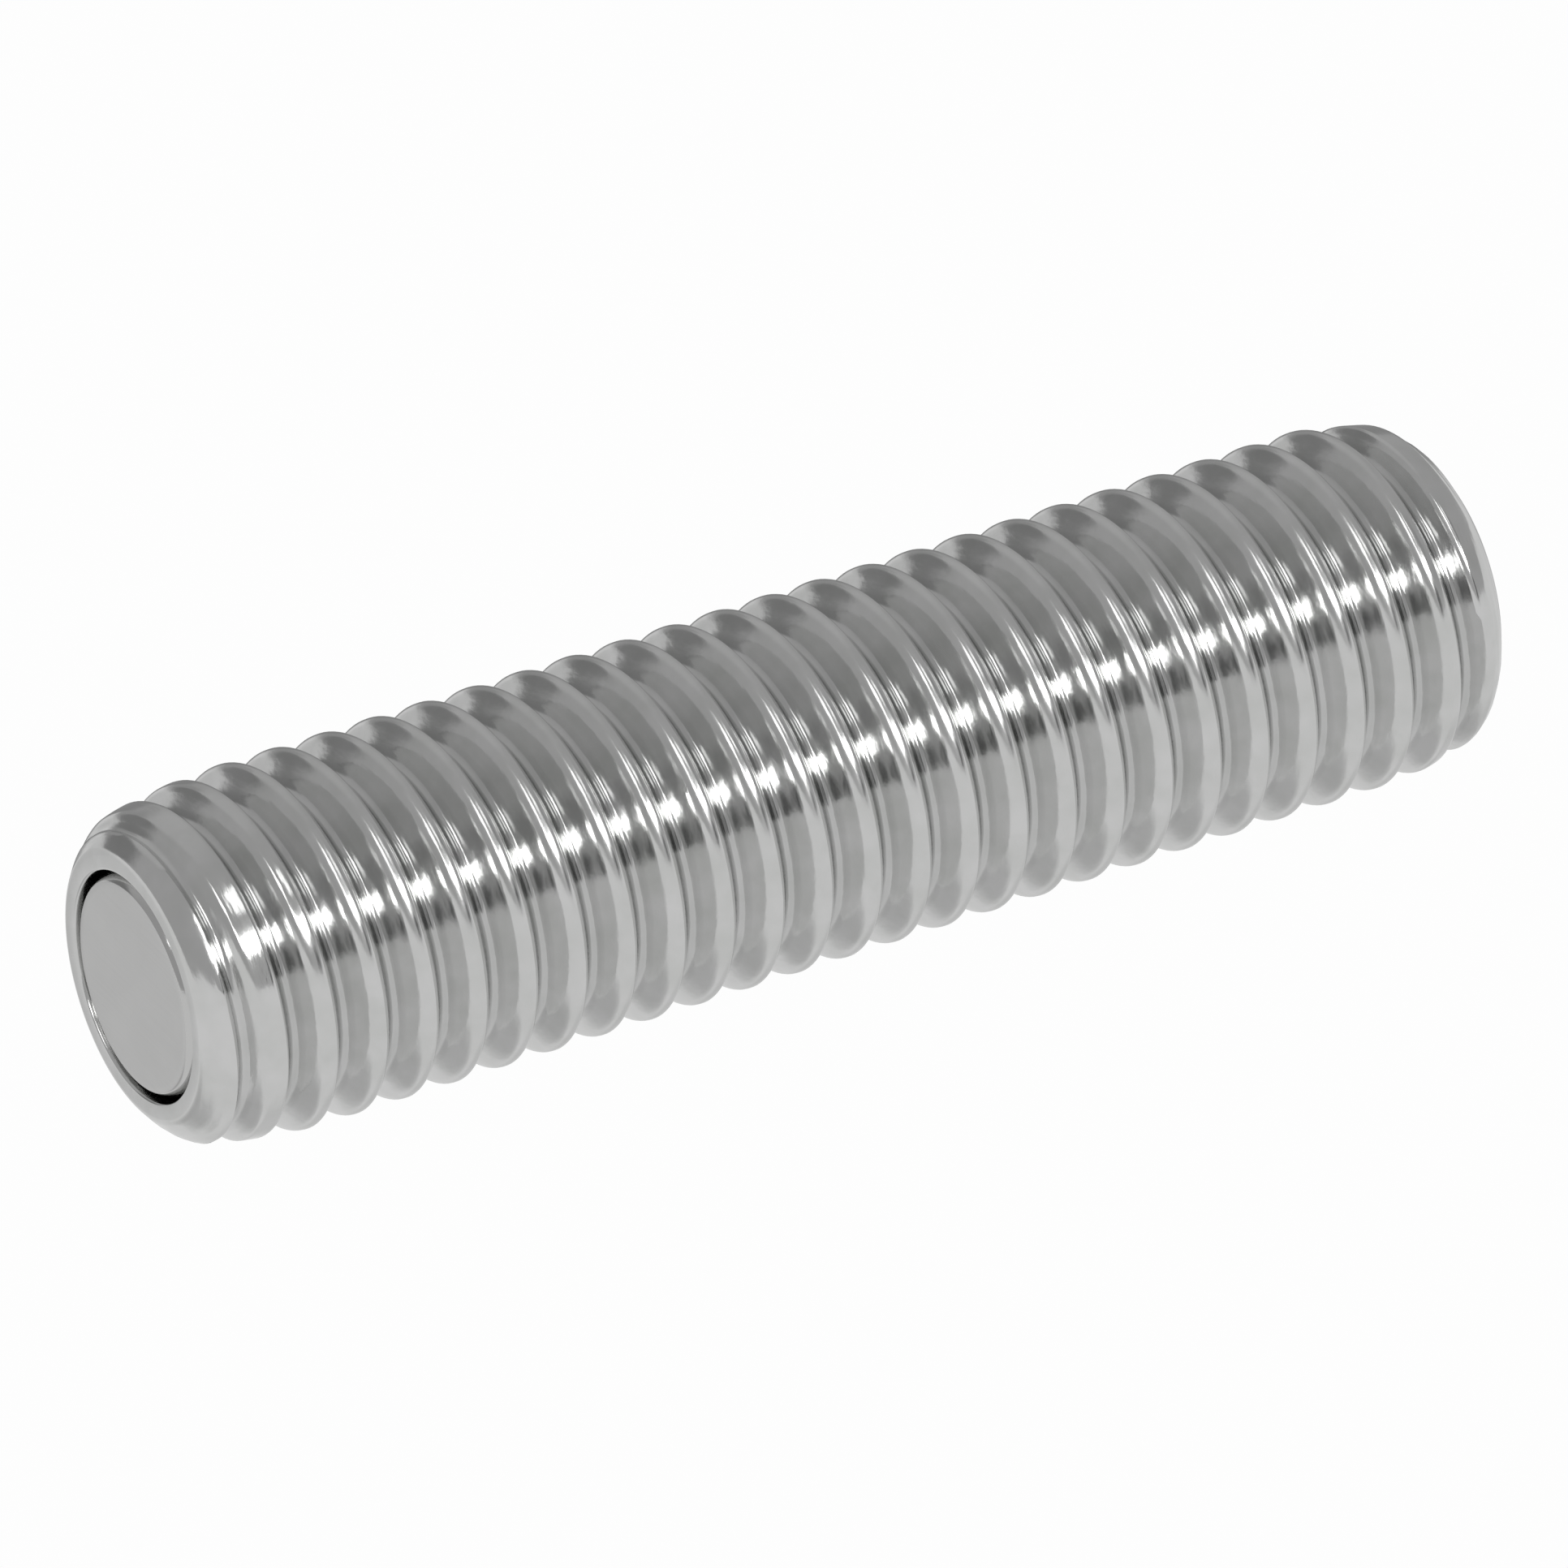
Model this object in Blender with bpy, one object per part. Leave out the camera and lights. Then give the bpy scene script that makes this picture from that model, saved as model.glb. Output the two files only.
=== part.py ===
"""Headless ball-ended thrust screw, M10 x 1.5 x 40, with a captive flattened ball.

The screw lies along +X. The origin is the centre of the ball's flat contact face, which looks along -X.
It has three pieces: the threaded body, the flattened ball that swivels in the body's socket, and the
loose pin behind the ball, which stops the swivel and keeps the flat facing out.
"""

from math import acos, asin, cos, pi, radians, sin, sqrt, tan

import bmesh
import bpy

MM = 0.001

# Thread: metric coarse, right-hand, one start, 60 degree flanks
PITCH = 1.5 * MM
LENGTH = 40.0 * MM
CREST_RADIUS = 4.93 * MM
PITCH_RADIUS = 4.513 * MM
ROOT_RADIUS = 4.05 * MM
HALF_THREAD_ANGLE = radians(30)
THREAD_START = 0.672 * PITCH  # the first crest over +Y
THREAD_SEGMENTS = 24

# Turned blank, as (distance from the end face, radius): a flat rim, a steep chamfer,
# then crests that rise slowly to their full height
RIM_RADIUS = 3.6 * MM
FRONT_CHAMFER = ((0.57 * MM, 4.42 * MM), (1.2 * MM, 4.62 * MM), (3.5 * MM, 4.94 * MM))
BACK_CHAMFER = ((0.55 * MM, 4.5 * MM), (2.55 * MM, 4.94 * MM))
BLANK_RADIUS = 5.2 * MM
ROUND_SEGMENTS = 48

# Flattened ball, and the socket whose lip is rolled over it
BALL_RADIUS = 3.5 * MM
FLAT_RADIUS = 2.9 * MM
BALL_CENTRE = sqrt(BALL_RADIUS**2 - FLAT_RADIUS**2)
BALL_RINGS = 12
MOUTH_RADIUS = 3.15 * MM
LIP_LAND = 0.05 * MM
SOCKET_RADIUS = sqrt(MOUTH_RADIUS**2 + (BALL_CENTRE - LIP_LAND) ** 2)
SOCKET_RINGS = 11

# Stop pin: it stands loose in a drilled hole and reaches into a wider hole in the back of the ball
SWIVEL = radians(9)
PIN_RADIUS = 0.7 * MM
PIN_FRONT = 3.6 * MM
PIN_BACK = 8.3 * MM
PIN_CHAMFER = 0.15 * MM
PIN_SEGMENTS = 24
PIN_HOLE_RADIUS = PIN_RADIUS + 0.15 * MM
PIN_HOLE_DEPTH = 8.6 * MM
STOP_HOLE_RADIUS = BALL_RADIUS * sin(SWIVEL) + PIN_RADIUS + 0.1 * MM
STOP_HOLE_DEPTH = 3.2 * MM
DRILL_POINT = radians(59)

# Hexagon socket in the drive end
HEX_ACROSS_FLATS = 5.0 * MM
HEX_DEPTH = 6.0 * MM
HEX_LEAD_RADIUS = 3.0 * MM
HEX_LEAD_ANGLE = radians(60)
OVERSHOOT = 1.0 * MM


def clear_scene():
    for obj in list(bpy.data.objects):
        bpy.data.objects.remove(obj, do_unlink=True)


def metal(name, colour, roughness):
    material = bpy.data.materials.new(name)
    material.use_nodes = True
    shader = material.node_tree.nodes["Principled BSDF"]
    shader.inputs["Base Color"].default_value = (*colour, 1.0)
    shader.inputs["Metallic"].default_value = 1.0
    shader.inputs["Roughness"].default_value = roughness
    return material


def new_object(name, bm, material=None):
    bmesh.ops.recalc_face_normals(bm, faces=bm.faces)
    if bm.calc_volume(signed=True) < 0:
        bmesh.ops.reverse_faces(bm, faces=bm.faces)
    mesh = bpy.data.meshes.new(name)
    bm.to_mesh(mesh)
    bm.free()
    if material:
        mesh.materials.append(material)
    obj = bpy.data.objects.new(name, mesh)
    bpy.context.scene.collection.objects.link(obj)
    return obj


def turned(name, outline, segments, material=None):
    """A solid of revolution about X, from (x, radius) points that start and end on the axis."""
    bm = bmesh.new()
    points = [bm.verts.new((x, radius, 0)) for x, radius in outline]
    for start, end in zip(points, points[1:]):
        bm.edges.new((start, end))
    bmesh.ops.spin(
        bm, geom=bm.verts[:] + bm.edges[:], axis=(1, 0, 0), angle=2 * pi, steps=segments, use_merge=True
    )
    bmesh.ops.remove_doubles(bm, verts=bm.verts, dist=1e-7)
    return new_object(name, bm, material)


def arc(centre, radius, start, end, steps):
    """(x, radius) points on a circle centred on the axis, with angles measured from -X."""
    angles = [start + (end - start) * step / steps for step in range(steps + 1)]
    return [(centre - radius * cos(angle), radius * sin(angle)) for angle in angles]


def add_boolean(obj, operation, other):
    """Cuts obj with a helper, which is hidden."""
    other.hide_render = True
    other.display_type = "WIRE"
    modifier = obj.modifiers.new(other.name, "BOOLEAN")
    modifier.operation = operation
    modifier.object = other
    modifier.solver = "EXACT"


def shade_round(obj, sharp_angle):
    obj.data.shade_smooth()
    obj.data.set_sharp_from_angle(angle=sharp_angle)


def thread_profile():
    """One pitch of the thread as (x, radius) points: the crest's two edges, then the root's."""
    half_crest = PITCH / 4 - (CREST_RADIUS - PITCH_RADIUS) * tan(HALF_THREAD_ANGLE)
    half_root = PITCH / 4 - (PITCH_RADIUS - ROOT_RADIUS) * tan(HALF_THREAD_ANGLE)
    return [
        (-half_crest, CREST_RADIUS),
        (half_crest, CREST_RADIUS),
        (PITCH / 2 - half_root, ROOT_RADIUS),
        (PITCH / 2 + half_root, ROOT_RADIUS),
    ]


def close_end(bm, rim, x):
    centre = bm.verts.new((x, 0, 0))
    for here, there in zip(rim, rim[1:] + rim[:1]):
        bm.faces.new((here, there, centre))


def threaded_bar(name, material):
    """A threaded bar, longer than the body at both ends: one strip wound along the helix."""
    profile = thread_profile()
    wind = len(profile)
    turns = round(LENGTH / PITCH) + 4
    start = THREAD_START - 3 * PITCH
    stations = [(start + x + turn * PITCH, radius) for turn in range(turns) for x, radius in profile]
    bm = bmesh.new()
    columns = []
    for step in range(THREAD_SEGMENTS):
        part_turn = step / THREAD_SEGMENTS
        side, up = cos(2 * pi * part_turn), sin(2 * pi * part_turn)
        columns.append([bm.verts.new((x + part_turn * PITCH, r * side, r * up)) for x, r in stations])
    for here, there in zip(columns, columns[1:]):
        for i in range(len(stations) - 1):
            bm.faces.new((here[i], here[i + 1], there[i + 1], there[i]))
    # The strip's last column meets its first one a pitch further along
    first, last = columns[0], columns[-1]
    for i in range(len(stations) - 1 - wind):
        bm.faces.new((last[i], last[i + 1], first[i + 1 + wind], first[i + wind]))
    near_rim = [column[0] for column in columns] + first[wind:0:-1]
    far_rim = [column[-1] for column in columns] + last[-2 : -2 - wind : -1]
    close_end(bm, near_rim, stations[0][0] + PITCH / 2)
    close_end(bm, far_rim, stations[-1][0] + PITCH / 2)
    bmesh.ops.triangulate(bm, faces=bm.faces)
    return new_object(name, bm, material)


def turned_blank():
    """The bar before threading: outside and bores in one outline, from the pin hole to the countersink."""
    mouth_angle = acos((BALL_CENTRE - LIP_LAND) / SOCKET_RADIUS)
    hole_angle = pi - asin(PIN_HOLE_RADIUS / SOCKET_RADIUS)
    outline = [(PIN_HOLE_DEPTH + PIN_HOLE_RADIUS / tan(DRILL_POINT), 0), (PIN_HOLE_DEPTH, PIN_HOLE_RADIUS)]
    outline += arc(BALL_CENTRE, SOCKET_RADIUS, hole_angle, mouth_angle, SOCKET_RINGS)
    outline += [(0, MOUTH_RADIUS), (0, RIM_RADIUS), *FRONT_CHAMFER, (FRONT_CHAMFER[-1][0], BLANK_RADIUS)]
    back = [(LENGTH - x, radius) for x, radius in reversed(BACK_CHAMFER)]
    outline += [(back[0][0], BLANK_RADIUS), *back, (LENGTH, RIM_RADIUS)]
    outline += [(LENGTH, HEX_LEAD_RADIUS), (LENGTH - HEX_LEAD_RADIUS / tan(HEX_LEAD_ANGLE), 0)]
    return turned("turned_blank", outline, ROUND_SEGMENTS)


def hex_socket():
    """The hexagon, with a flat above and below, and the shallow cone that its drill leaves."""
    corner_radius = HEX_ACROSS_FLATS / sqrt(3)
    floor = LENGTH - HEX_DEPTH
    outline = [(floor - corner_radius / tan(DRILL_POINT), 0), (floor, corner_radius)]
    outline += [(LENGTH + OVERSHOOT, corner_radius), (LENGTH + OVERSHOOT, 0)]
    return turned("hex_socket", outline, 6)


def make_threaded_body(material):
    blank = turned_blank()
    blank.rotation_euler.x = pi / ROUND_SEGMENTS  # its edges fall between the thread's
    add_boolean(blank, "DIFFERENCE", hex_socket())
    body = threaded_bar("threaded_body", material)
    add_boolean(body, "INTERSECT", blank)
    shade_round(body, radians(20))


def make_flat_ball(material):
    """The ball's own origin is its centre, which the swivel turns about."""
    flat_angle = acos(BALL_CENTRE / BALL_RADIUS)
    hole_angle = pi - asin(STOP_HOLE_RADIUS / BALL_RADIUS)
    hole_floor = STOP_HOLE_DEPTH - BALL_CENTRE
    outline = [(-BALL_CENTRE, 0)]
    outline += arc(0, BALL_RADIUS, flat_angle, hole_angle, BALL_RINGS)
    outline += [(hole_floor, STOP_HOLE_RADIUS)]
    outline += [(hole_floor - STOP_HOLE_RADIUS / tan(DRILL_POINT), 0)]
    ball = turned("flat_ball", outline, ROUND_SEGMENTS, material)
    ball.location = (BALL_CENTRE, 0, 0)
    shade_round(ball, radians(25))


def make_stop_pin(material):
    length = PIN_BACK - PIN_FRONT
    end_radius = PIN_RADIUS - PIN_CHAMFER
    outline = [(0, 0), (0, end_radius), (PIN_CHAMFER, PIN_RADIUS)]
    outline += [(length - PIN_CHAMFER, PIN_RADIUS), (length, end_radius), (length, 0)]
    pin = turned("stop_pin", outline, PIN_SEGMENTS, material)
    pin.location = (PIN_FRONT, 0, 0)
    shade_round(pin, radians(25))


def main():
    clear_scene()
    make_threaded_body(metal("rolled_steel", (0.62, 0.63, 0.63), 0.2))
    make_flat_ball(metal("ball_steel", (0.66, 0.66, 0.65), 0.35))
    make_stop_pin(metal("pin_steel", (0.55, 0.56, 0.56), 0.3))


main()
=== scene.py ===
"""Looks for the ball-ended thrust screw: rolled thread and lip, ball, stop pin and a pale studio.

The screw lies along +X, and the ball's flat is at x = 0 and faces -X.
"""

from math import acos, asin, cos, pi, radians, sin, sqrt, tan

import bmesh
import bpy
import numpy as np
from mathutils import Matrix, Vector


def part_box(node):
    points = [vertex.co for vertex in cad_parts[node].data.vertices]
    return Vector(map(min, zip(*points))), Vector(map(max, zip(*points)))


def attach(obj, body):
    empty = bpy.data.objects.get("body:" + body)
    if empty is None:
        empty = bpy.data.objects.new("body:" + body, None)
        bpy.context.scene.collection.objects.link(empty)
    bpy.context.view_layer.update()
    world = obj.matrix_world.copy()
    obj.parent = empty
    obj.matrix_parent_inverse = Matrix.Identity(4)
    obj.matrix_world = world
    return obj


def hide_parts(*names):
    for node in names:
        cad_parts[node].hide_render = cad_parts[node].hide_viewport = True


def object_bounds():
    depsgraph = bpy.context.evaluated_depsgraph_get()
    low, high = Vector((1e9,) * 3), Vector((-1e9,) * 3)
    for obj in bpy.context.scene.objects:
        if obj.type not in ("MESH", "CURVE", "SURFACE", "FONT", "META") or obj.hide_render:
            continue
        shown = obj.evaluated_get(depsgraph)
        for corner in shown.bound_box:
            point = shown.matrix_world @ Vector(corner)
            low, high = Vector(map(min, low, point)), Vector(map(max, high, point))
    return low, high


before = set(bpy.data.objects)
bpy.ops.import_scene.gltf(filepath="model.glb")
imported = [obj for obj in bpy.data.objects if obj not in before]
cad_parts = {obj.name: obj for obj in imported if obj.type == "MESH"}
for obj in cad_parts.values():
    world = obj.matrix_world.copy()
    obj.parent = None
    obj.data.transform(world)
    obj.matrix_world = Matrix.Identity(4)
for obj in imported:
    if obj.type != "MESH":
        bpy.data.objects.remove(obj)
cad_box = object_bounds()

MM = 0.001
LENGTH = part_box("threaded_body")[1][0]
CREST_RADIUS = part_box("threaded_body")[1][1]
BALL_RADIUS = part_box("flat_ball")[1][1]
PIN_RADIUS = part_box("stop_pin")[1][1]
MIDDLE = Vector((LENGTH / 2, 0, 0))

# Thread, on the CAD's helix
PITCH = 1.5 * MM
PITCH_RADIUS = 4.56 * MM
ROOT_RADIUS = 4.13 * MM
HALF_THREAD_ANGLE = radians(30)
THREAD_START = 0.672  # the first crest over +Y, in pitches
CREST_CROWN = 1.4 * MM  # the crest's radius in section
CREST_APEX = 0.1 * MM  # how far the crest leans towards the back end
SPARE_TURNS = 2  # tried beyond each end, so that no point is missed

# Each corner is rounded from where the radii of its two sides differ by this much
CREST_ROUND = 0.22 * MM
ROOT_ROUND = 0.18 * MM
ENVELOPE_ROUND = 0.1 * MM

# The thread's points, as places from its crest in pitches, closest where it curves most
HALF_PROFILE = (0.04, 0.07, 0.1, 0.13, 0.17, 0.22, 0.28, 0.34, 0.39, 0.43, 0.465)
PROFILE = (*(-step for step in reversed(HALF_PROFILE)), 0.0, *HALF_PROFILE, 0.5)
END_GAP = 0.03 * MM  # between the thread's outermost points and the rings that it joins
FRONT_KEY = -1000  # below the keys of all the thread's points
BACK_KEY = 100000  # above them

# Ends of the blank, as (distance from the end face, radius)
FRONT_CHAMFER = (
    (0.57 * MM, 4.42 * MM),
    (1.2 * MM, 4.62 * MM),
    (3.5 * MM, 4.94 * MM),
    (5.0 * MM, 5.3 * MM),
)
BACK_CHAMFER = ((0.55 * MM, 4.5 * MM), (2.55 * MM, 4.94 * MM), (4.0 * MM, 5.3 * MM))
CHAMFER_ROUND = 0.25 * MM  # how far a chamfer's corner is smoothed to either side
RIM_RADIUS = 3.6 * MM

# Lip, rolled over the ball
MOUTH_RADIUS = 3.2 * MM
LIP_INNER_ROUND = 0.08 * MM
LIP_OUTER_ROUND = 0.35 * MM
LIP_HEIGHT = 0.078 * MM
LIP_OUTER = 3.95 * MM

# Ball, socket and stop pin
FLAT_RADIUS = 2.9 * MM
FLAT_RINGS = (0.6 * MM, 1.4 * MM, 2.2 * MM, 2.7 * MM)
FLAT_EDGE_ROUND = 0.04 * MM
FLAT_EDGE_TURN = radians(0.8)  # from the flat's corner to where its round meets the sphere
BALL_CENTRE = sqrt(BALL_RADIUS**2 - FLAT_RADIUS**2)
SOCKET_CLEARANCE = 0.08 * MM
SOCKET_RADIUS = BALL_RADIUS + SOCKET_CLEARANCE
SOCKET_FRONT_RADIUS = 3.23 * MM
SWIVEL = radians(9)
STOP_CLEARANCE = 0.1 * MM
STOP_HOLE_RADIUS = BALL_RADIUS * sin(SWIVEL) + PIN_RADIUS + STOP_CLEARANCE
STOP_HOLE_DEPTH = 3.2 * MM
PIN_CLEARANCE = 0.15 * MM
PIN_HOLE_RADIUS = PIN_RADIUS + PIN_CLEARANCE
PIN_HOLE_DEPTH = 8.6 * MM
DRILL_POINT = radians(59)

# Hexagon socket, and the broken edges of the back face: depth, and reach into and off the face
HEX_ACROSS_FLATS = 5.0 * MM
HEX_FLOOR = LENGTH - 6.0 * MM
HEX_LEAD_RADIUS = 3.0 * MM
HEX_LEAD_ANGLE = radians(60)
EDGE_DEPTH = 0.03 * MM
RIM_EDGE_IN = 0.02 * MM
RIM_EDGE_OFF = 0.04 * MM
LEAD_EDGE_IN = 0.03 * MM
LEAD_EDGE_OFF = 0.02 * MM

# Fineness of the meshes
BODY_COLUMNS = 120
BALL_COLUMNS = 96
FLOOR_COLUMNS = 96
SOCKET_STEPS = 30
BALL_STEPS = 40
LIP_INNER_STEPS = 8
LIP_OUTER_STEPS = 6
SWEEP_STEPS = 12
BODY_SHARP_ANGLE = radians(50)
BALL_SHARP_ANGLE = radians(25)

# Metals: colours as (dark, light), roughness as (smooth, rough), and heights of the fine relief
NOISE_RANGE = (0.3, 0.7)
NARROW_NOISE_RANGE = (0.35, 0.65)
ROLLED_COLOURS = ((0.66, 0.665, 0.655), (0.73, 0.73, 0.728))
ROLLED_ROUGHNESS = (0.1, 0.17)
CREST_WEAR = (0.0, 0.06)  # added to the roughness, from flank to crest
CREST_WEAR_RADII = (CREST_RADIUS - 0.12 * MM, CREST_RADIUS - 0.02 * MM)
# Painted shade: the colour is darkened in the thread's roots, but not on the front cone
ROOT_SHADE = (1.0, 0.84)  # scales the colour, from flank to root
ROOT_SHADE_RADII = (ROOT_RADIUS + 0.25 * MM, ROOT_RADIUS + 0.02 * MM)
ROOT_SHADE_START = (0.6 * MM, 1.3 * MM)  # the front cone keeps its full colour
WAVE_HEIGHT = 0.005 * MM
MARK_HEIGHT = 0.002 * MM
BALL_COLOURS = ((0.63, 0.63, 0.625), (0.65, 0.65, 0.645))
FLAT_ROUGHNESS = (0.32, 0.42)
BALL_POLISH = (1.0, 0.3)  # scales the roughness, from flat to sphere
BALL_POLISH_RADII = (FLAT_RADIUS - 0.03 * MM, FLAT_RADIUS)
GRINDING_HEIGHT = 0.001 * MM
PIN_COLOUR = (0.5, 0.51, 0.51)
PIN_ROUGHNESS = (0.24, 0.38)
PIN_RING_HEIGHT = 0.003 * MM

# Camera
AZIMUTH = radians(-30.23)
ELEVATION = radians(32.68)
DISTANCE = 579.6 * MM
VIEW_WIDTH = 41.74 * MM
SENSOR = 36.0
SHIFT_X = -0.0048
SHIFT_Y = -0.0022
CLIP_START = 10 * MM

# Studio round the object: the radiance of its walls, and of round patches, each over those before it,
# as (direction, inner and outer angle in degrees, radiance)
WALL_RADIANCE = 0.4
STUDIO_PATCHES = (
    ((0.0, 0.7, 0.7), 10, 40, 0.46),
    ((0.0, 1.0, 0.15), 8, 20, 0.32),
    ((-0.4, 0.9, 0.15), 10, 20, 0.22),
    ((0.56, -0.38, 0.74), 5, 16, 0.27),
    ((0.0, -0.95, 0.3), 8, 16, 0.42),
    ((0.39, -0.86, 0.31), 8, 13, 0.12),
    ((0.0, 0.0, -1.0), 84.0, 87.0, 0.57),
    ((0.0, -0.17, -1.0), 91.4, 93.1, 0.72),
    ((-0.3, 0.93, -0.4), 10, 20, 0.57),
    ((0.42, 0.2, -0.88), 10, 30, 0.62),
    ((-0.46, 0.33, -0.82), 2, 23.5, 0.48),
    ((0.42, 0.85, -0.25), 14, 24, 0.26),
)
# Soft lights, as (direction from the object, width and height in degrees, radiance)
SOFT_LIGHTS = (
    ((0.2, -0.73, 0.65), 32, 9.5, 6.0),
    ((-0.289, -0.7155, 0.636), 44, 9.5, 5.0),
    ((0.14, -0.34, 0.93), 12, 16, 1.3),
    ((-0.54, -0.28, 0.79), 20, 20, 2.0),
)
LIGHT_DISTANCE = 1.2
FLOOR_RADIANCE = 0.985
SWEEP_RADIUS = 1500 * MM
SWEEP_RISE = 1500 * MM


# ---------------------------------------------------------------- meshes


class Skin:
    """Points and faces of one closed mesh about the X axis."""

    def __init__(self, columns):
        self.columns = columns
        self.angles = [2 * pi * step / columns for step in range(columns)]
        self.points = []
        self.faces = []

    def add(self, x, radius, angle):
        self.points.append((x, radius * cos(angle), radius * sin(angle)))
        return len(self.points) - 1

    def ring(self, x, radius):
        """A ring of points; x and radius are numbers, or functions of the angle."""
        place = x if callable(x) else lambda angle: x
        size = radius if callable(radius) else lambda angle: radius
        return [self.add(place(angle), size(angle), angle) for angle in self.angles]

    def join(self, near, far):
        for i in range(self.columns):
            j = (i + 1) % self.columns
            self.faces.append((near[i], near[j], far[j], far[i]))

    def rings(self, outline):
        """Joined rings along (x, radius) points; returns the first and the last."""
        made = [self.ring(x, radius) for x, radius in outline]
        for near, far in zip(made, made[1:]):
            self.join(near, far)
        return made[0], made[-1]

    def cap(self, ring, x, first):
        """Closes the first or the last ring with a cone to a point on the axis."""
        pole = self.add(x, 0, 0)
        for i in range(self.columns):
            j = (i + 1) % self.columns
            self.faces.append((pole, ring[j], ring[i]) if first else (pole, ring[i], ring[j]))

    def zip_columns(self, here, there):
        """Faces between two columns of (key, point) pairs, which needn't hold the same keys."""
        i = j = 0
        while i < len(here) - 1 or j < len(there) - 1:
            key_here = here[i + 1][0] if i < len(here) - 1 else float("inf")
            key_there = there[j + 1][0] if j < len(there) - 1 else float("inf")
            face = [here[i][1], there[j][1]]
            if key_there <= key_here:
                j += 1
                face.append(there[j][1])
            if key_here <= key_there:
                i += 1
                face.append(here[i][1])
            self.faces.append(tuple(face))

    def build(self, name, sharp_angle):
        mesh = bpy.data.meshes.new(name)
        mesh.from_pydata(self.points, [], self.faces)
        mesh.shade_smooth()
        mesh.set_sharp_from_angle(angle=sharp_angle)
        obj = bpy.data.objects.new(name, mesh)
        bpy.context.scene.collection.objects.link(obj)
        return obj


def arc(centre, radius, start, end, steps):
    """(x, radius) points on a circle about such a point, with angles from -X towards outwards."""
    x, out = centre
    turns = [start + (end - start) * step / steps for step in range(steps + 1)]
    return [(x - radius * cos(turn), out + radius * sin(turn)) for turn in turns]


# ---------------------------------------------------------------- threaded body


def soft_min(a, b, width):
    """The lower of two values, eased below both where they differ by less than the width."""
    overlap = max(width - abs(a - b), 0) / width
    return min(a, b) - overlap * overlap * width / 4


def soft_max(a, b, width):
    return -soft_min(-a, -b, width)


def thread_radius(step):
    """Radius of the rolled thread at a step along its pitch, where 0 is the crest."""
    off_crest = ((step + 0.5) % 1.0 - 0.5) * PITCH
    flank = PITCH_RADIUS + (PITCH / 4 - abs(off_crest)) / tan(HALF_THREAD_ANGLE)
    crest = CREST_RADIUS - (off_crest - CREST_APEX) ** 2 / (2 * CREST_CROWN)
    return soft_max(soft_min(flank, crest, CREST_ROUND), ROOT_RADIUS, ROOT_ROUND)


def chamfer_radius(distance, start, chamfer):
    """Radius of the turned blank at a distance from its end face, with its corners rounded."""
    places, radii = zip(start, *chamfer)
    reach = max(min(CHAMFER_ROUND, distance - start[0]), 0)
    return float(np.mean(np.interp((distance - reach, distance, distance + reach), places, radii)))


def outside_radius(x, step, front, back):
    """Radius of the thread, cut off by the blank's ends, which start at front and back."""
    front_radius = chamfer_radius(x, front, FRONT_CHAMFER)
    back_radius = chamfer_radius(LENGTH - x, back, BACK_CHAMFER)
    return soft_min(thread_radius(step), min(front_radius, back_radius), ENVELOPE_ROUND)


def thread_column(skin, angle, front, back, near, far):
    """One column of the thread, from a ring's point at the front to one at the back."""
    column = [(FRONT_KEY, near)]
    shift = THREAD_START + angle / (2 * pi)
    for turn in range(-SPARE_TURNS, round(LENGTH / PITCH) + SPARE_TURNS):
        for place, step in enumerate(PROFILE):
            x = (turn + step + shift) * PITCH
            if front[0] + END_GAP < x < LENGTH - back[0] - END_GAP:
                point = skin.add(x, outside_radius(x, step, front, back), angle)
                column.append((turn * len(PROFILE) + place, point))
    return [*column, (BACK_KEY, far)]


def wind_thread(skin, front, back, front_ring, back_ring):
    """The thread between two rings: columns along the screw, joined point by point."""
    columns = [
        thread_column(skin, angle, front, back, near, far)
        for angle, near, far in zip(skin.angles, front_ring, back_ring)
    ]
    for here, there in zip(columns, columns[1:]):
        skin.zip_columns(here, there)
    # A turn further round, the first column's keys are one pitch up
    first = [(key - len(PROFILE), point) for key, point in columns[0]]
    first[0] = columns[0][0]
    first[-1] = columns[0][-1]
    skin.zip_columns(columns[-1], first)


def socket_outline():
    """The ball's socket in section, from the floor of the pin's hole to behind the lip."""
    hole_turn = pi - asin(PIN_HOLE_RADIUS / SOCKET_RADIUS)
    front_turn = asin(SOCKET_FRONT_RADIUS / SOCKET_RADIUS)
    wall = arc((BALL_CENTRE, 0), SOCKET_RADIUS, hole_turn, front_turn, SOCKET_STEPS)
    return [(PIN_HOLE_DEPTH, PIN_HOLE_RADIUS), *wall]


def lip_outline():
    """The lip in section, from the ball's socket over the crown to the foot of the front cone."""
    inner_centre = (LIP_INNER_ROUND, MOUTH_RADIUS + LIP_INNER_ROUND)
    outer_centre = (LIP_OUTER_ROUND, LIP_OUTER - LIP_OUTER_ROUND)
    foot_turn = acos(1 - LIP_HEIGHT / LIP_OUTER_ROUND)
    inner = arc(inner_centre, LIP_INNER_ROUND, -pi / 2, 0, LIP_INNER_STEPS)
    return inner + arc(outer_centre, LIP_OUTER_ROUND, 0, foot_turn, LIP_OUTER_STEPS)


def hex_radius(angle):
    return HEX_ACROSS_FLATS / 2 / cos(angle % (pi / 3) - pi / 6)


def hex_lead(angle):
    """Where the countersink meets the hexagon."""
    return LENGTH - (HEX_LEAD_RADIUS - hex_radius(angle)) / tan(HEX_LEAD_ANGLE)


def back_outline():
    """The back end in section, from the rim's edge over the face to the hexagon socket's floor."""
    return [
        (LENGTH - EDGE_DEPTH, RIM_RADIUS + RIM_EDGE_OFF),
        (LENGTH, RIM_RADIUS - RIM_EDGE_IN),
        (LENGTH, HEX_LEAD_RADIUS + LEAD_EDGE_IN),
        (LENGTH - EDGE_DEPTH, HEX_LEAD_RADIUS - LEAD_EDGE_OFF),
        (hex_lead, hex_radius),
        (HEX_FLOOR, hex_radius),
    ]


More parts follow.
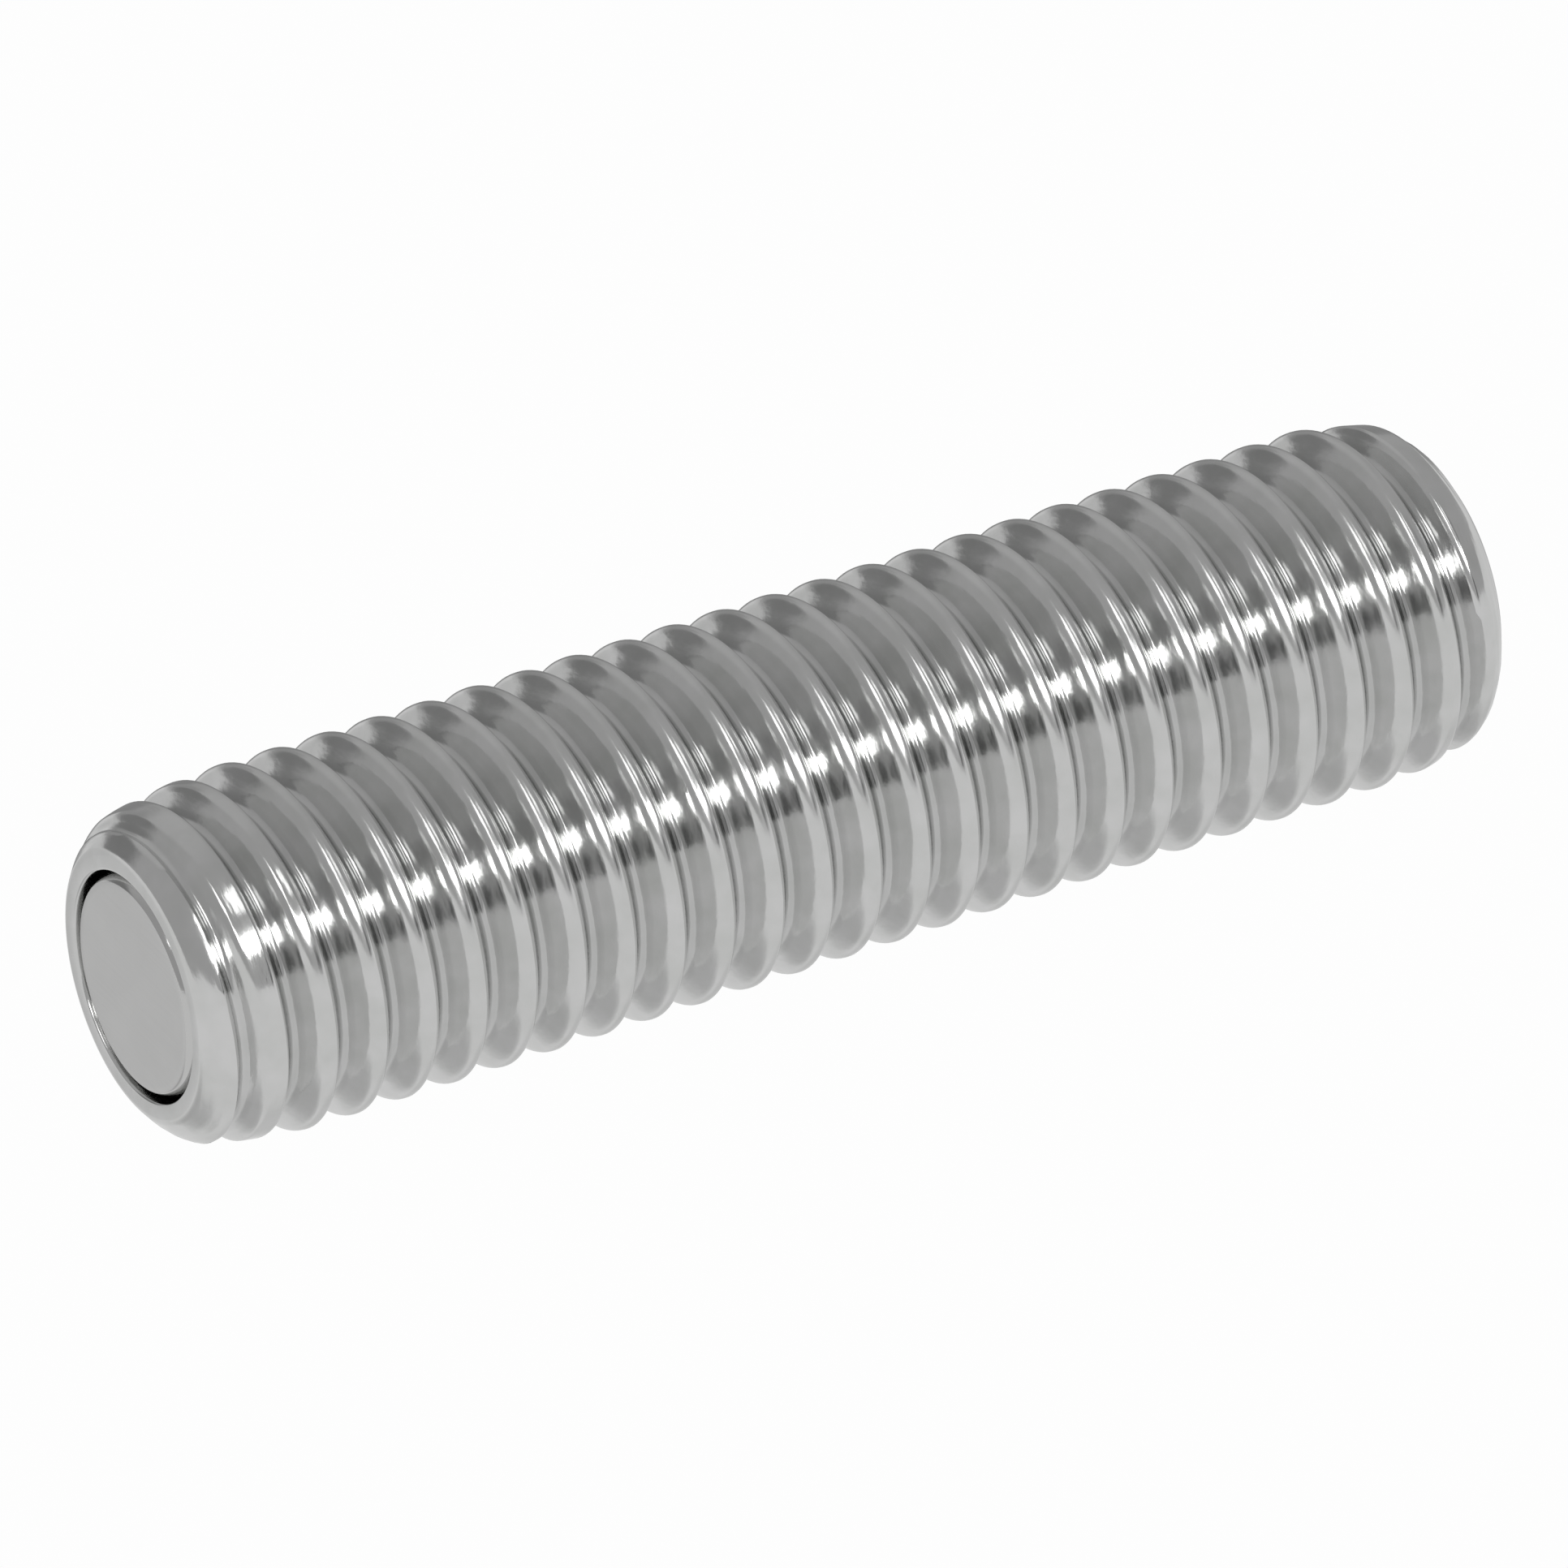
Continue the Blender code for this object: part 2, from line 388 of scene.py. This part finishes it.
def make_body():
    skin = Skin(BODY_COLUMNS)
    bottom, front_ring = skin.rings([*socket_outline(), *lip_outline()])
    skin.cap(bottom, PIN_HOLE_DEPTH + PIN_HOLE_RADIUS / tan(DRILL_POINT), first=True)
    back_ring, floor_ring = skin.rings(back_outline())
    skin.cap(floor_ring, HEX_FLOOR - HEX_ACROSS_FLATS / sqrt(3) / tan(DRILL_POINT), first=False)
    front = lip_outline()[-1]
    back = (EDGE_DEPTH, RIM_RADIUS + RIM_EDGE_OFF)
    wind_thread(skin, front, back, front_ring, back_ring)
    body = skin.build("threaded_body_rolled", BODY_SHARP_ANGLE)
    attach(body, "screw")
    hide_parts("threaded_body")
    return body


# ---------------------------------------------------------------- ball


def make_ball():
    edge_turn = asin(FLAT_RADIUS / BALL_RADIUS)
    hole_turn = pi - asin(STOP_HOLE_RADIUS / BALL_RADIUS)
    outline = [(0, radius) for radius in FLAT_RINGS]
    outline += [(0, FLAT_RADIUS - FLAT_EDGE_ROUND)]
    outline += [(FLAT_EDGE_ROUND / 4, FLAT_RADIUS - FLAT_EDGE_ROUND / 4)]
    outline += arc((BALL_CENTRE, 0), BALL_RADIUS, edge_turn + FLAT_EDGE_TURN, hole_turn, BALL_STEPS)
    outline += [(STOP_HOLE_DEPTH, STOP_HOLE_RADIUS)]
    skin = Skin(BALL_COLUMNS)
    first, last = skin.rings(outline)
    skin.cap(first, 0, first=True)
    skin.cap(last, STOP_HOLE_DEPTH - STOP_HOLE_RADIUS / tan(DRILL_POINT), first=False)
    ball = skin.build("flat_ball_ground", BALL_SHARP_ANGLE)
    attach(ball, "ball")
    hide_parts("flat_ball")
    return ball


# ---------------------------------------------------------------- nodes


def link(tree, source, socket):
    tree.links.new(source, socket)


def fill(node, values):
    for socket, value in values.items():
        node.inputs[socket].default_value = value


def new_material(name):
    """A new material, with its node tree and its shader."""
    material = bpy.data.materials.new(name)
    material.use_nodes = True
    tree = material.node_tree
    return material, tree, tree.nodes["Principled BSDF"]


def new_metal(name):
    material, tree, shader = new_material(name)
    fill(shader, {"Metallic": 1.0})
    return material, tree, shader


def own_place(tree):
    """The point's place in the object's own space, where the screw's axis is X."""
    return tree.nodes.new("ShaderNodeTexCoord").outputs["Object"]


def noise(tree, scale, detail, squeeze=(1, 1, 1)):
    """Noise with so many features a metre, and more along the axes where it is squeezed."""
    mapping = tree.nodes.new("ShaderNodeMapping")
    fill(mapping, {"Scale": squeeze})
    texture = tree.nodes.new("ShaderNodeTexNoise")
    fill(texture, {"Scale": scale, "Detail": detail})
    link(tree, own_place(tree), mapping.inputs["Vector"])
    link(tree, mapping.outputs["Vector"], texture.inputs["Vector"])
    return texture.outputs["Fac"]


def vector_math(tree, operation, source):
    """A vector node on one source; its second input is left to the caller."""
    node = tree.nodes.new("ShaderNodeVectorMath")
    node.operation = operation
    link(tree, source, node.inputs[0])
    return node


def radius_of(tree):
    """Distance from the screw's axis."""
    across = vector_math(tree, "MULTIPLY", own_place(tree))
    across.inputs[1].default_value = (0, 1, 1)
    return vector_math(tree, "LENGTH", across.outputs["Vector"]).outputs["Value"]


def place_along(tree):
    """Distance along the screw from its ball end."""
    separate = tree.nodes.new("ShaderNodeSeparateXYZ")
    link(tree, own_place(tree), separate.inputs["Vector"])
    return separate.outputs["X"]


def math_of(tree, operation, one, other):
    node = tree.nodes.new("ShaderNodeMath")
    node.operation = operation
    link(tree, one, node.inputs[0])
    link(tree, other, node.inputs[1])
    return node.outputs["Value"]


def remap(tree, source, given, wanted):
    """Takes the source from one range to another, and holds it at the ends."""
    node = tree.nodes.new("ShaderNodeMapRange")
    fill(node, {"From Min": given[0], "From Max": given[1], "To Min": wanted[0], "To Max": wanted[1]})
    link(tree, source, node.inputs["Value"])
    return node.outputs["Result"]


def tint(tree, source, colours):
    """A colour between dark and light, by the source."""
    ramp = tree.nodes.new("ShaderNodeValToRGB")
    for element, position, colour in zip(ramp.color_ramp.elements, NOISE_RANGE, colours):
        element.position = position
        element.color = (*colour, 1)
    link(tree, source, ramp.inputs["Fac"])
    return ramp.outputs["Color"]


def scaled(tree, colour, factor):
    node = vector_math(tree, "SCALE", colour)
    link(tree, factor, node.inputs["Scale"])
    return node.outputs["Vector"]


def bump(tree, source, height, below=None):
    node = tree.nodes.new("ShaderNodeBump")
    fill(node, {"Distance": height, "Strength": 1.0})
    link(tree, source, node.inputs["Height"])
    if below:
        link(tree, below, node.inputs["Normal"])
    return node.outputs["Normal"]


# ---------------------------------------------------------------- materials


def rolled_colour_and_painted_shade(tree):
    """Faint clouding, and painted shade that darkens the thread's roots behind the front cone."""
    clouding = tint(tree, noise(tree, scale=900, detail=3), ROLLED_COLOURS)
    depth = remap(tree, radius_of(tree), ROOT_SHADE_RADII, (0.0, 1.0))
    behind_cone = remap(tree, place_along(tree), ROOT_SHADE_START, (0.0, 1.0))
    # painted shade: how far the point lies in a root behind the front cone
    painted_root_shade = math_of(tree, "MULTIPLY", depth, behind_cone)
    return scaled(tree, clouding, remap(tree, painted_root_shade, (0.0, 1.0), ROOT_SHADE))


def rolled_roughness(tree):
    """Clouding, and worn crests."""
    clouding = noise(tree, scale=1400, detail=3, squeeze=(2, 1, 1))
    wear = remap(tree, radius_of(tree), CREST_WEAR_RADII, CREST_WEAR)
    return math_of(tree, "ADD", remap(tree, clouding, NARROW_NOISE_RANGE, ROLLED_ROUGHNESS), wear)


def rolled_relief(tree):
    """Slight waves, with finer marks over them, both drawn out along the turns."""
    waves = noise(tree, scale=1500, detail=1, squeeze=(5, 1, 1))
    marks = noise(tree, scale=4500, detail=3, squeeze=(4, 1, 1))
    return bump(tree, marks, MARK_HEIGHT, below=bump(tree, waves, WAVE_HEIGHT))


def rolled_metal():
    """Bright thread rolled in steel."""
    material, tree, shader = new_metal("rolled_thread_metal")
    link(tree, rolled_colour_and_painted_shade(tree), shader.inputs["Base Color"])
    link(tree, rolled_roughness(tree), shader.inputs["Roughness"])
    link(tree, rolled_relief(tree), shader.inputs["Normal"])
    return material


def ball_metal():
    """Ground flat on a hard polished ball: satin, with very fine straight grinding lines."""
    material, tree, shader = new_metal("ball_metal")
    clouding = noise(tree, scale=700, detail=3)
    lines = noise(tree, scale=2500, detail=3, squeeze=(1, 0.15, 8))
    satin = remap(tree, lines, NOISE_RANGE, FLAT_ROUGHNESS)
    polish = remap(tree, radius_of(tree), BALL_POLISH_RADII, BALL_POLISH)
    link(tree, tint(tree, clouding, BALL_COLOURS), shader.inputs["Base Color"])
    link(tree, math_of(tree, "MULTIPLY", satin, polish), shader.inputs["Roughness"])
    link(tree, bump(tree, lines, GRINDING_HEIGHT), shader.inputs["Normal"])
    return material


def pin_metal():
    """Turned steel pin: fine rings round its length."""
    material, tree, shader = new_metal("pin_metal")
    fill(shader, {"Base Color": (*PIN_COLOUR, 1)})
    rings = noise(tree, scale=2000, detail=3, squeeze=(10, 1, 1))
    link(tree, remap(tree, rings, NOISE_RANGE, PIN_ROUGHNESS), shader.inputs["Roughness"])
    link(tree, bump(tree, rings, PIN_RING_HEIGHT), shader.inputs["Normal"])
    return material


def floor_light():
    """The floor glows evenly and takes no light."""
    material, tree, shader = new_material("pale_floor")
    fill(shader, {"Base Color": (0, 0, 0, 1), "Metallic": 0.0, "Roughness": 1.0})
    fill(shader, {"Specular IOR Level": 0.0})
    fill(shader, {"Emission Color": (1, 1, 1, 1), "Emission Strength": FLOOR_RADIANCE})
    return material


# ---------------------------------------------------------------- studio


def make_camera():
    back = Vector((sin(AZIMUTH) * cos(ELEVATION), -cos(AZIMUTH) * cos(ELEVATION), sin(ELEVATION)))
    data = bpy.data.cameras.new("camera")
    data.sensor_width = SENSOR
    data.lens = SENSOR * DISTANCE / VIEW_WIDTH
    data.clip_start = CLIP_START
    data.shift_x = SHIFT_X
    data.shift_y = SHIFT_Y
    camera = bpy.data.objects.new("camera", data)
    camera.location = MIDDLE + back * DISTANCE
    camera.rotation_euler = back.to_track_quat("Z", "Y").to_euler()
    bpy.context.scene.collection.objects.link(camera)
    bpy.context.scene.camera = camera


def floor_mesh():
    """A round floor about the Z axis, which sweeps up far away."""
    low = cad_box[0][2]
    turns = [pi / 2 * step / SWEEP_STEPS for step in range(SWEEP_STEPS + 1)]
    sweep = [(SWEEP_RADIUS + SWEEP_RISE * sin(turn), SWEEP_RISE * (1 - cos(turn))) for turn in turns]
    bm = bmesh.new()
    points = [bm.verts.new((radius, 0, low + height)) for radius, height in [(0.0, 0.0), *sweep]]
    for here, there in zip(points, points[1:]):
        bm.edges.new((here, there))
    section = bm.verts[:] + bm.edges[:]
    bmesh.ops.spin(bm, geom=section, axis=(0, 0, 1), angle=2 * pi, steps=FLOOR_COLUMNS, use_merge=True)
    mesh = bpy.data.meshes.new("floor")
    bm.to_mesh(mesh)
    bm.free()
    mesh.shade_smooth()
    return mesh


def make_floor():
    """The pale floor. The metal mirrors the studio's patches instead of it."""
    floor = bpy.data.objects.new("floor", floor_mesh())
    floor.data.materials.append(floor_light())
    floor.location.x = MIDDLE.x
    floor.visible_glossy = False
    floor.visible_diffuse = False
    floor.visible_shadow = False
    bpy.context.scene.collection.objects.link(floor)


def patch_mask(tree, direction, towards, inner, outer):
    """1 within the inner angle of a direction, and 0 beyond the outer one."""
    dot = vector_math(tree, "DOT_PRODUCT", direction)
    dot.inputs[1].default_value = Vector(towards).normalized()
    mask = tree.nodes.new("ShaderNodeMapRange")
    mask.interpolation_type = "SMOOTHSTEP"
    fill(mask, {"From Min": cos(radians(outer)), "From Max": cos(radians(inner))})
    link(tree, dot.outputs["Value"], mask.inputs["Value"])
    return mask.outputs["Result"]


def make_world():
    world = bpy.data.worlds.new("studio")
    bpy.context.scene.world = world
    world.use_nodes = True
    tree = world.node_tree
    direction = tree.nodes.new("ShaderNodeTexCoord").outputs["Generated"]
    level = None
    for towards, inner, outer, radiance in STUDIO_PATCHES:
        mix = tree.nodes.new("ShaderNodeMix")
        fill(mix, {"A": WALL_RADIANCE, "B": radiance})
        link(tree, patch_mask(tree, direction, towards, inner, outer), mix.inputs["Factor"])
        if level:
            link(tree, level, mix.inputs["A"])
        level = mix.outputs["Result"]
    background = tree.nodes["Background"]
    fill(background, {"Color": (1, 1, 1, 1)})
    link(tree, level, background.inputs["Strength"])


def make_lights():
    for number, (towards, width, height, radiance) in enumerate(SOFT_LIGHTS):
        towards = Vector(towards).normalized()
        data = bpy.data.lights.new(f"softbox_{number}", "AREA")
        data.shape = "RECTANGLE"
        data.size = 2 * LIGHT_DISTANCE * tan(radians(width / 2))
        data.size_y = 2 * LIGHT_DISTANCE * tan(radians(height / 2))
        data.energy = radiance * pi * data.size * data.size_y
        light = bpy.data.objects.new(f"softbox_{number}", data)
        light.location = MIDDLE + towards * LIGHT_DISTANCE
        light.rotation_euler = towards.to_track_quat("Z", "Y").to_euler()
        bpy.context.scene.collection.objects.link(light)


make_camera()
make_body().data.materials.append(rolled_metal())
make_ball().data.materials.append(ball_metal())
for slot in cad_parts["stop_pin"].material_slots:
    slot.material = pin_metal()
make_floor()
make_world()
make_lights()
bpy.context.scene.view_settings.view_transform = "Standard"
